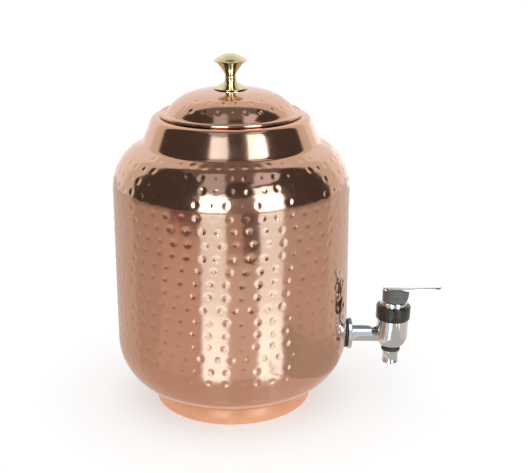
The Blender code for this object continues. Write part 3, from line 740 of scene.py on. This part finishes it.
def bridged(sections):
    """A closed solid through a row of sections, each a loop of points."""
    shape = bmesh.new()
    loops = []
    for section in sections:
        corners = [shape.verts.new(point) for point in section]
        ends = corners[1:] + corners[:1]
        loops.append([shape.edges.new(pair) for pair in zip(corners, ends)])
    for first, second in zip(loops, loops[1:]):
        bmesh.ops.bridge_loops(shape, edges=first + second)
    bmesh.ops.holes_fill(shape, edges=loops[0] + loops[-1])
    bmesh.ops.recalc_face_normals(shape, faces=shape.faces)
    return shape


wire_sections = []
for step in range(spring_turns * turn_steps + 1):
    turn = math.tau * step / turn_steps
    height = wire_start + wire_rise * step / (spring_turns * turn_steps)
    rounds = arc(spring_radius, height, wire_radius, 0, math.tau, wire_sides)[:-1]
    wire_sections.append([(out * math.cos(turn), out * math.sin(turn), up) for out, up in rounds])
spring_shape = bridged(wire_sections)
spring = add_piece("return_spring_wire", spring_shape, machined_steel, tap_place)
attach(spring, "pot")
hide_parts("return_spring")
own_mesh(spring)

# --- Valve plug -----------------------------------------------------------------
# A soft plug of food-grade silicone on the stem's foot shuts the spout's seat. It keeps the CAD
# shape, and is milky, with light going a little way into it.

# Silicone, moulded: milky and half matt, and faintly clouded.
milky_silicone, tree = new_material("milky_silicone")
cloud = add_noise(tree, 300.0, 3.0)
add_surface(
    tree,
    {"Roughness": 0.45, "IOR": 1.41, "Subsurface Weight": 0.3, "Subsurface Scale": 0.002},
    tint=(cloud, "#e3e2dc", "#d8d6cf"),
)
refinish(milky_silicone, "valve_plug")

# --- Lever ----------------------------------------------------------------------
# The finger lever is a moulded grey nylon cam block with a flat blade of chromed zinc on it. A
# steel pin through the block and the stem is its pivot, and its foot rolls on the bonnet cap.

# Glass-filled nylon, moulded: dark grey and satin, with a fine dull grain.
grey_nylon, tree = new_material("grey_nylon")
grain = add_noise(tree, 1300.0, 4.0)
add_surface(
    tree,
    {"Roughness": 0.42, "IOR": 1.53},
    tint=(grain, "#666662", "#757571"),
    relief=(grain, 0.00005, 0.5),
)
refinish(grey_nylon, "cam_block")

# The pin's steel is blackened in hot oxide salts: dark grey, satin and slightly mottled.
blackened_steel, tree = new_material("blackened_steel")
mottle = add_noise(tree, 800.0, 3.0)
add_surface(tree, {"Metallic": 1.0, "Roughness": 0.45}, tint=(mottle, "#7e7e7b", "#929290"))
refinish(blackened_steel, "lever_pin")

lever_place = tap_place @ Matrix.Translation((0, 0, pin_height))
cam_radius = 0.0131
cam_forward = 0.0014
cam_top = 0.00667
blade_length = 0.0580
blade_back = cam_forward - cam_radius - 0.0008
blade_half_width = 0.0130
blade_thickness = 0.0024
blade_foot = cam_top + clearance
blade_stations = 60
# Shares of the blade's length, half width and thickness, and of its thickness for its foot's rise
blade_shares = (
    (0.000, 0.90, 0.86, 0.24),
    (0.030, 0.98, 1.04, 0.06),
    (0.100, 1.00, 1.12, 0.00),
    (0.300, 1.00, 1.10, 0.00),
    (0.400, 0.97, 0.98, 0.00),
    (0.500, 0.90, 0.92, 0.02),
    (0.620, 0.82, 0.88, 0.04),
    (0.760, 0.75, 0.86, 0.05),
    (0.880, 0.66, 0.80, 0.05),
    (0.950, 0.52, 0.66, 0.10),
    (0.985, 0.34, 0.56, 0.17),
    (1.000, 0.14, 0.44, 0.24),
)


def blade_share(share, column):
    """One column of the blade's table at a share of its length, on a smooth curve."""
    last = len(blade_shares) - 1
    spot = next(index for index in range(last) if share <= blade_shares[index + 1][0] + 1e-9)
    rows = [blade_shares[min(max(spot + step, 0), last)] for step in (-1, 0, 1, 2)]
    (x0, y0), (x1, y1), (x2, y2), (x3, y3) = [(row[0], row[column]) for row in rows]
    first = (y2 - y0) / (x2 - x0)
    second = (y3 - y1) / (x3 - x1)
    gap = x2 - x1
    t = (share - x1) / gap
    keep = (1 + 2 * t) * (1 - t) ** 2 * y1 + t * t * (3 - 2 * t) * y2
    return keep + t * (1 - t) ** 2 * gap * first + t * t * (t - 1) * gap * second


blade_sections = []
for station in range(blade_stations + 1):
    share = (1 - math.cos(math.pi * station / blade_stations)) / 2
    across = blade_back + blade_length * share
    half = blade_half_width * blade_share(share, 1)
    thick = blade_thickness * blade_share(share, 2)
    foot_height = blade_foot + blade_thickness * blade_share(share, 3)
    near = [(half - 0.0003, 0.0), (half, 0.12), (half - 0.10 * thick, 0.38)]
    near += [(half - 0.34 * thick, 0.64), (half - 0.66 * thick, 0.82), (half - thick, 0.92)]
    near.append((half * 0.45, 0.98))
    far = [(-side, lift) for side, lift in reversed(near)]
    rounds = [(0.0, 0.0)] + near + [(0.0, 1.0)] + far
    blade_sections.append([(across, side, foot_height + thick * lift) for side, lift in rounds])
blade_shape = bridged(blade_sections)
soften(blade_shape, 0.00015)
blade = add_piece("lever_blade_chrome", blade_shape, bright_chrome, lever_place)
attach(blade, "lever")
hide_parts("lever_blade")

# --- Lid ------------------------------------------------------------------------
# The lid is spun from the same sheet: a full dome with a narrow flange, its edge rolled over a
# wire. Two rings of hammer marks go round the dome, and a hoop soldered below keeps it in place.

lid_edge = mouth_radius + 0.0034
lid_bead = 0.0014
lid_dome_edge = lid_edge - 0.0062
lid_rise = 0.0215
lid_slope = math.radians(26.6)
lid_fullness = 2.8
lid_base = pot_high.z + clearance
lid_flange_top = lid_base + lid_bead + pot_sheet / 2
lid_blend = 0.0014
lid_columns = 300
lid_rings = ((0.0422, 21), (0.0522, 26))
lid_dent_radius = 0.0030
lid_dent_depth = 0.00055
lid_dent_slip = 0.0006
lid_dent_turn = 0.09
fine_step, wide_step = 0.00085, 0.0016
fine_round_dents = 0.0040
fine_from = 0.0562
knob_radius = 0.0153
screw_hole_radius = 0.0023
screw_hole_low, screw_hole_high = 0.280, 0.310

power = 2 / lid_fullness
lid_across = lid_dome_edge / math.cos(lid_slope) ** power
lid_height = lid_rise / (1 - math.sin(lid_slope) ** power)
lid_foot = lid_flange_top - lid_height * math.sin(lid_slope) ** power


def dome_height(across):
    """Height of the lid's top at a radius: the dome, run out softly into the flat flange."""
    turn = math.acos(min((across / lid_across) ** (1 / power), 1.0))
    dome = lid_foot + lid_height * math.sin(turn) ** power
    return (dome + lid_flange_top + math.hypot(dome - lid_flange_top, lid_blend)) / 2


lid_marks = [0.0, 0.008, knob_radius]
across = knob_radius + 0.0012
while across < lid_edge - 2 * lid_bead:
    lid_marks.append(across)
    from_dents = min(abs(across - ring_radius) for ring_radius, _count in lid_rings)
    fine = from_dents < fine_round_dents or across > fine_from
    across += fine_step if fine else wide_step
lid_outline = [(across, dome_height(max(across, knob_radius))) for across in lid_marks]
seat_under = lid_outline[0][1] - pot_sheet
meet = math.asin(pot_sheet / 2 / lid_bead)
bead_ends = (math.pi - meet, meet - math.pi)
lid_outline += arc(lid_edge - lid_bead, lid_base + lid_bead, lid_bead, *bead_ends, 20)
for across in (lid_dome_edge - 0.0005, 0.0560, 0.0530, 0.0500, 0.0450, 0.0400, 0.0340, 0.0260):
    lid_outline.append((across, min(dome_height(across) - pot_sheet, seat_under)))
lid_outline += [(knob_radius, seat_under), (0.0, seat_under)]
lid_marks += [unmarked] * (len(lid_outline) - len(lid_marks))
lid_shape = turned(lid_outline, lid_columns, False, lid_marks)

lid_dents = []
for ring_radius, count in lid_rings:
    start = random.uniform(0, 1)
    for number in range(count):
        place = start + number + random.uniform(-lid_dent_turn, lid_dent_turn)
        slip = random.uniform(-lid_dent_slip, lid_dent_slip)
        radius = lid_dent_radius * random.uniform(0.85, 1.15)
        depth = lid_dent_depth * random.uniform(0.75, 1.25)
        lid_dents.append((math.tau * place / count, ring_radius + slip, radius, depth))
slope_span = 0.0002
mark = lid_shape.verts.layers.float["mark"]
for vert in lid_shape.verts:
    across = vert[mark]
    if across <= knob_radius:
        continue
    turn = math.atan2(vert.co.y, vert.co.x)
    drop = dome_height(across - slope_span) - dome_height(across + slope_span)
    tilt = math.atan2(drop, 2 * slope_span)
    sink = 0.0
    for dent_turn, dent_across, radius, depth in lid_dents:
        run = (across - dent_across) / math.cos(tilt)
        side = (turn - dent_turn + math.pi) % math.tau - math.pi
        away = math.hypot(run, side * across)
        if away < radius:
            sink += depth * (1 + math.cos(math.pi * away / radius)) / 2
    if sink:
        height = vert.co.z - sink * math.cos(tilt)
        across -= sink * math.sin(tilt)
        vert.co = (across * math.cos(turn), across * math.sin(turn), height)
lid = add_piece("lid_copper", lid_shape, hammered_copper, pot_place)
bore(lid, screw_hole_radius, screw_hole_low, screw_hole_high, 32, pot_place)
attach(lid, "lid")
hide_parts("lid_shell")
refinish(brushed_copper, "lid_locating_ring")

# --- Knob -----------------------------------------------------------------------
# The knob is turned from brass bar: a low foot, a neck with two beads, and a flare under a flat
# pointed crown. One screw holds it from inside the lid. It is buffed bright on the lathe.

knob_place = Matrix.Translation((pot_axis, 0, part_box("lid_knob")[0].z))
knob_edge = 0.0010
edge_round = 0.0003
edge_flat = 0.0008
chamfer_radius = knob_radius - 0.0004
knob_foot = 0.0058
foot_hollow = 1.35
knob_neck = 0.0049
knob_bead = 0.0006
bead_height = 0.0025
knob_flare = 0.0130
flare_hollow = 1.45
knob_crown = 0.0062
crown_shares = ((0.87, 0.20), (0.74, 0.39), (0.60, 0.58), (0.46, 0.75), (0.32, 0.88))
crown_shares += ((0.20, 0.95), (0.09, 0.99))
screw_depth = 0.0122

knob_outline = [(screw_hole_radius, 0), (knob_radius - edge_round, 0)]
knob_outline += [(knob_radius, edge_round), (knob_radius, edge_flat)]
height = knob_edge
foot_spread = chamfer_radius - knob_neck - knob_bead
for step in range(9):
    across = knob_neck + knob_bead + foot_spread * (1 - step / 8) ** foot_hollow
    knob_outline.append((across, height + knob_foot * step / 8))
height += knob_foot
for _bead in range(2):
    for step in range(1, 7):
        across = knob_neck + knob_bead * math.sin(math.pi * step / 6)
        knob_outline.append((across, height + bead_height * step / 6))
    height += bead_height
for step in range(1, 13):
    across = knob_neck + (knob_radius - edge_round - knob_neck) * (step / 12) ** flare_hollow
    knob_outline.append((across, height + knob_flare * step / 12))
height += knob_flare
knob_outline += [(knob_radius, height + edge_round), (knob_radius, height + edge_flat)]
height += knob_edge
knob_outline.append((chamfer_radius, height))
knob_outline += [(knob_radius * out, height + knob_crown * up) for out, up in crown_shares]
knob_outline += [(0, height + knob_crown), (0, screw_depth), (screw_hole_radius, screw_depth)]
knob_shape = turned(knob_outline, round_steps)

# Brass CZ121, turned and buffed: pale greenish gold, with faint lathe lines that are drawn 0.8 mm
# apart, because the real ones are finer than the render shows.
turned_brass, tree = new_material("turned_brass")
lines = add_noise(tree, 1250.0, 2.0, (0.05, 0.05, 1.0))
add_surface(
    tree,
    {"Metallic": 1.0},
    tint=(lines, "#e6dcb9", "#d9cea6"),
    gloss=(lines, (0.3, 0.7), (0.08, 0.16)),
    relief=(lines, 0.00002, 0.5),
)
knob = add_piece("lid_knob_brass", knob_shape, turned_brass, knob_place)
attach(knob, "lid")
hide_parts("lid_knob")

# --- Table and light ------------------------------------------------------------
# A wide pale table under a white, even sky. Cards that show only in bright metal stand for a room:
# dark in front, with two tall windows, pale behind, and a grey table with mats and shadows on it.

floor_shape = bmesh.new()
bmesh.ops.create_grid(floor_shape, x_segments=1, y_segments=1, size=6.0)
table_white, tree = new_material("table_white")
grain = add_noise(tree, 3.0, 3.0)
shares = {0: grain, 6: linear("#dcdddd"), 7: linear("#d8d9d9")}
colour = add_node(tree, "ShaderNodeMix", shares, data_type="RGBA")
matt = add_node(tree, "ShaderNodeBsdfDiffuse", {"Color": colour.outputs[2]})
# The table glows a little for the camera and for what mirrors it, so that it shows as white.
rays = add_node(tree, "ShaderNodeLightPath")
seen = {0: rays.outputs["Is Camera Ray"], 1: rays.outputs["Is Glossy Ray"]}
seen = add_node(tree, "ShaderNodeMath", seen, operation="MAXIMUM")
shown = {0: seen, 1: rays.outputs["Is Transmission Ray"]}
shown = add_node(tree, "ShaderNodeMath", shown, operation="MAXIMUM")
lift = add_node(tree, "ShaderNodeMath", {0: shown, 1: 0.38}, operation="MULTIPLY")
glow = add_node(tree, "ShaderNodeEmission", {"Strength": lift})
both = add_node(tree, "ShaderNodeAddShader", {0: matt, 1: glow})
add_node(tree, "ShaderNodeOutputMaterial", {"Surface": both})
floor = add_piece("table", floor_shape, table_white)

world = bpy.data.worlds.new("white_sky")
bpy.context.scene.world = world
world.use_nodes = True
world.node_tree.nodes.clear()
white = {"Color": linear("#ffffff"), "Strength": 1.0}
sky = add_node(world.node_tree, "ShaderNodeBackground", white)
add_node(world.node_tree, "ShaderNodeOutputWorld", {"Surface": sky})


def add_card(name, shape, colour, strength, kind="plain"):
    """A card round the foot of the pot's axis that shows only in what mirrors it. It glows evenly.
    A polished one has a sheen over that, and a one-sided one is clear from behind."""
    material, tree = new_material(name)
    glow = {"Color": linear(colour), "Strength": strength}
    surface = add_node(tree, "ShaderNodeEmission", glow)
    if kind == "polished":
        edge = add_node(tree, "ShaderNodeFresnel", {"IOR": 1.75})
        bluish = {"Color": linear("#cef2ff"), "Roughness": 0.14}
        sheen = add_node(tree, "ShaderNodeBsdfGlossy", bluish)
        surface = add_node(tree, "ShaderNodeMixShader", {0: edge, 1: surface, 2: sheen})
    if kind == "one_sided":
        back = add_node(tree, "ShaderNodeNewGeometry").outputs["Backfacing"]
        clear = add_node(tree, "ShaderNodeBsdfTransparent")
        surface = add_node(tree, "ShaderNodeMixShader", {0: back, 1: surface, 2: clear})
    add_node(tree, "ShaderNodeOutputMaterial", {"Surface": surface})
    made = add_piece(name, shape, material, pot_place)
    made.visible_camera = False
    made.visible_diffuse = False
    made.visible_shadow = False


def room_dome(reach, foot, back, slope):
    """The part of a dome over the pot that lies above a level and before a sloping plane. The level
    and the plane's distance behind the pot are shares of the dome's reach."""
    shape = bmesh.new()
    bmesh.ops.create_uvsphere(shape, u_segments=96, v_segments=48, radius=reach)
    for point, outward in (((0, 0, foot), (0, 0, -1)), ((0, back, 0), (0, 1, slope))):
        bmesh.ops.bisect_plane(
            shape,
            geom=shape.verts[:] + shape.edges[:] + shape.faces[:],
            plane_co=Vector(point) * reach,
            plane_no=outward,
            clear_outer=True,
        )
    return shape


def curved_card(turns, rises, reach, flat=False):
    """A card round the pot between two turns from the front and two rises above the table, in
    degrees. A flat one lies at a height instead, between two distances from the pot's axis."""
    shape = bmesh.new()
    bmesh.ops.create_grid(shape, x_segments=60, y_segments=20, size=0.5)
    for vert in shape.verts:
        turn = math.radians(turns[0] + (turns[1] - turns[0]) * (vert.co.x + 0.5))
        rise = rises[0] + (rises[1] - rises[0]) * (vert.co.y + 0.5)
        distance = rise if flat else reach * math.cos(math.radians(rise))
        height = reach if flat else reach * math.sin(math.radians(rise))
        vert.co = (distance * math.sin(turn), -distance * math.cos(turn), height)
    bmesh.ops.reverse_faces(shape, faces=shape.faces)
    return shape


def panel(corners):
    """A flat card from its corners, which run anticlockwise as seen from its front."""
    shape = bmesh.new()
    shape.faces.new([shape.verts.new(corner) for corner in corners])
    return shape


# The room: each dome's reach, level, distance behind the pot and slope
for name, colour, strength, *sizes in (
    ("front_of_the_room", "#ffe6de", 0.076, 2.6, 0.0, 0.26, 0.013),
    ("ceiling_before_the_pot", "#ffeddd", 0.20, 2.5, 0.90, 0.27, 0.013),
    ("middle_of_the_room", "#fffbf0", 0.80, 2.8, 0.0, 0.55, 0.0),
):
    add_card(name, room_dome(*sizes), colour, strength)

# The windows: turns, rises and reach
for name, colour, strength, *sizes in (
    ("left_window", "#f4fbff", 12.0, (-29, -5), (19, 32), 2.4),
    ("right_window", "#f4fbff", 12.0, (24, 48), (19, 33), 2.4),
    ("wall_between_the_windows", "#fff0e8", 0.26, (-5, 24), (0, 30), 2.42),
    ("left_window_foot", "#f4fbff", 3.8, (-29, -5), (2, 19), 2.4),
    ("right_window_foot", "#f4fbff", 3.8, (24, 48), (2, 19), 2.4),
    ("left_window_haze", "#d8efff", 1.70, (-29, -5), (32, 40), 2.4),
    ("right_window_haze", "#f0fbff", 2.2, (24, 48), (33, 48), 2.4),
):
    add_card(name, curved_card(*sizes), colour, strength)

# The grey table and what lies on it: turns, distances and height
for name, colour, strength, kind, *sizes in (
    ("table_left_and_before", "#ffe7d9", 0.71, "polished", (-150, 24), (0.088, 2.5), 0.001),
    ("table_right", "#ffebe1", 0.78, "polished", (24, 150), (0.088, 2.5), 0.001),
    ("cream_between_the_windows", "#fff0e6", 0.88, "polished", (-5, 24), (0.23, 0.60), 0.002),
    ("pink_beside_the_windows", "#ffe5d6", 0.83, "polished", (-63, -29), (0.23, 0.70), 0.002),
    ("dark_between_the_windows", "#ffe0d8", 0.17, "plain", (9.5, 24), (0.60, 2.5), 0.003),
    ("brown_before_the_windows", "#ffe4d6", 0.50, "plain", (-5, 9.5), (0.60, 2.5), 0.003),
    ("mauve_beside_the_windows", "#ffd9d4", 0.23, "plain", (-57, -29), (0.70, 2.5), 0.003),
    ("orange_strip_on_the_table", "#ffa465", 1.06, "plain", (-49.7, -47.5), (0.70, 0.80), 0.004),
):
    add_card(name, curved_card(*sizes, flat=True), colour, strength, kind)

# The windows' dim tops: four corners each, as distances to the right and back, at one height
dim_height = 1.55
left_corners = ((-0.93, -1.67), (-0.15, -1.67), (-0.09, -0.20), (-0.44, -0.20))
right_corners = ((0.48, -1.08), (0.88, -0.79), (0.83, -0.12), (0.35, -0.12))
for name, colour, strength, corners in (
    ("left_window_top", "#f3f8ff", 0.62, left_corners),
    ("right_window_top", "#f1f5ff", 0.88, right_corners),
):
    add_card(name, panel([(*corner, dim_height) for corner in corners]), colour, strength)

# Small cards so near the tap that hardly anything but its chrome mirrors them: a grey mat below it
# that ends in a polished one, a dark and a bright roof over its shank with a grey screen before it,
# and a white screen behind the lever. Each is a corner and the two sides that run from it.
for name, colour, strength, kind, corner, first, second in (
    (
        "mat_below_the_tap", "#fff0e3", 0.53, "plain",
        (0.115, -0.160, 0.004), (0.145, 0, 0), (0, 0.190, 0),
    ),
    (
        "polished_mat_before_the_tap", "#ffeee1", 0.58, "polished",
        (0.125, -0.250, 0.004), (0.135, 0, 0), (0, 0.090, 0),
    ),
    (
        "dark_over_the_shank", "#f6f4ff", 0.24, "one_sided",
        (0.113, -0.009, 0.087), (0, 0.069, 0), (0.0255, 0, 0),
    ),
    (
        "light_over_the_shank", "#f2f8ff", 1.55, "one_sided",
        (0.113, -0.036, 0.087), (0, 0.027, 0), (0.0255, 0, 0),
    ),
    (
        "grey_before_the_shank", "#fbfcff", 0.64, "one_sided",
        (0.1385, -0.036, 0.046), (-0.0255, 0, 0), (0, 0, 0.041),
    ),
    (
        "white_behind_the_lever", "#ffffff", 1.3, "plain",
        (0.182, 0.300, 0.130), (0.138, 0, 0), (0, 0, 0.170),
    ),
):
    corner, first, second = Vector(corner), Vector(first), Vector(second)
    corners = [corner, corner + first, corner + first + second, corner + second]
    add_card(name, panel(corners), colour, strength, kind)

# --- Camera ---------------------------------------------------------------------
# It stands before the pot at the photograph's place, a little above the lid, and looks down at it.

camera = bpy.data.objects.new("camera", bpy.data.cameras.new("camera"))
bpy.context.scene.collection.objects.link(camera)
camera.data.sensor_width = 36.0
camera.data.sensor_fit = "HORIZONTAL"
camera.data.lens = 70.9
camera.data.clip_start = 0.05
camera.data.clip_end = 50.0
camera.location = (pot_axis, -0.938, 0.467)
aim = Vector((0.0307, 0.9496, -0.3118))
camera.rotation_euler = aim.to_track_quat("-Z", "Y").to_euler()
bpy.context.scene.camera = camera
bpy.context.scene.view_settings.view_transform = "Standard"
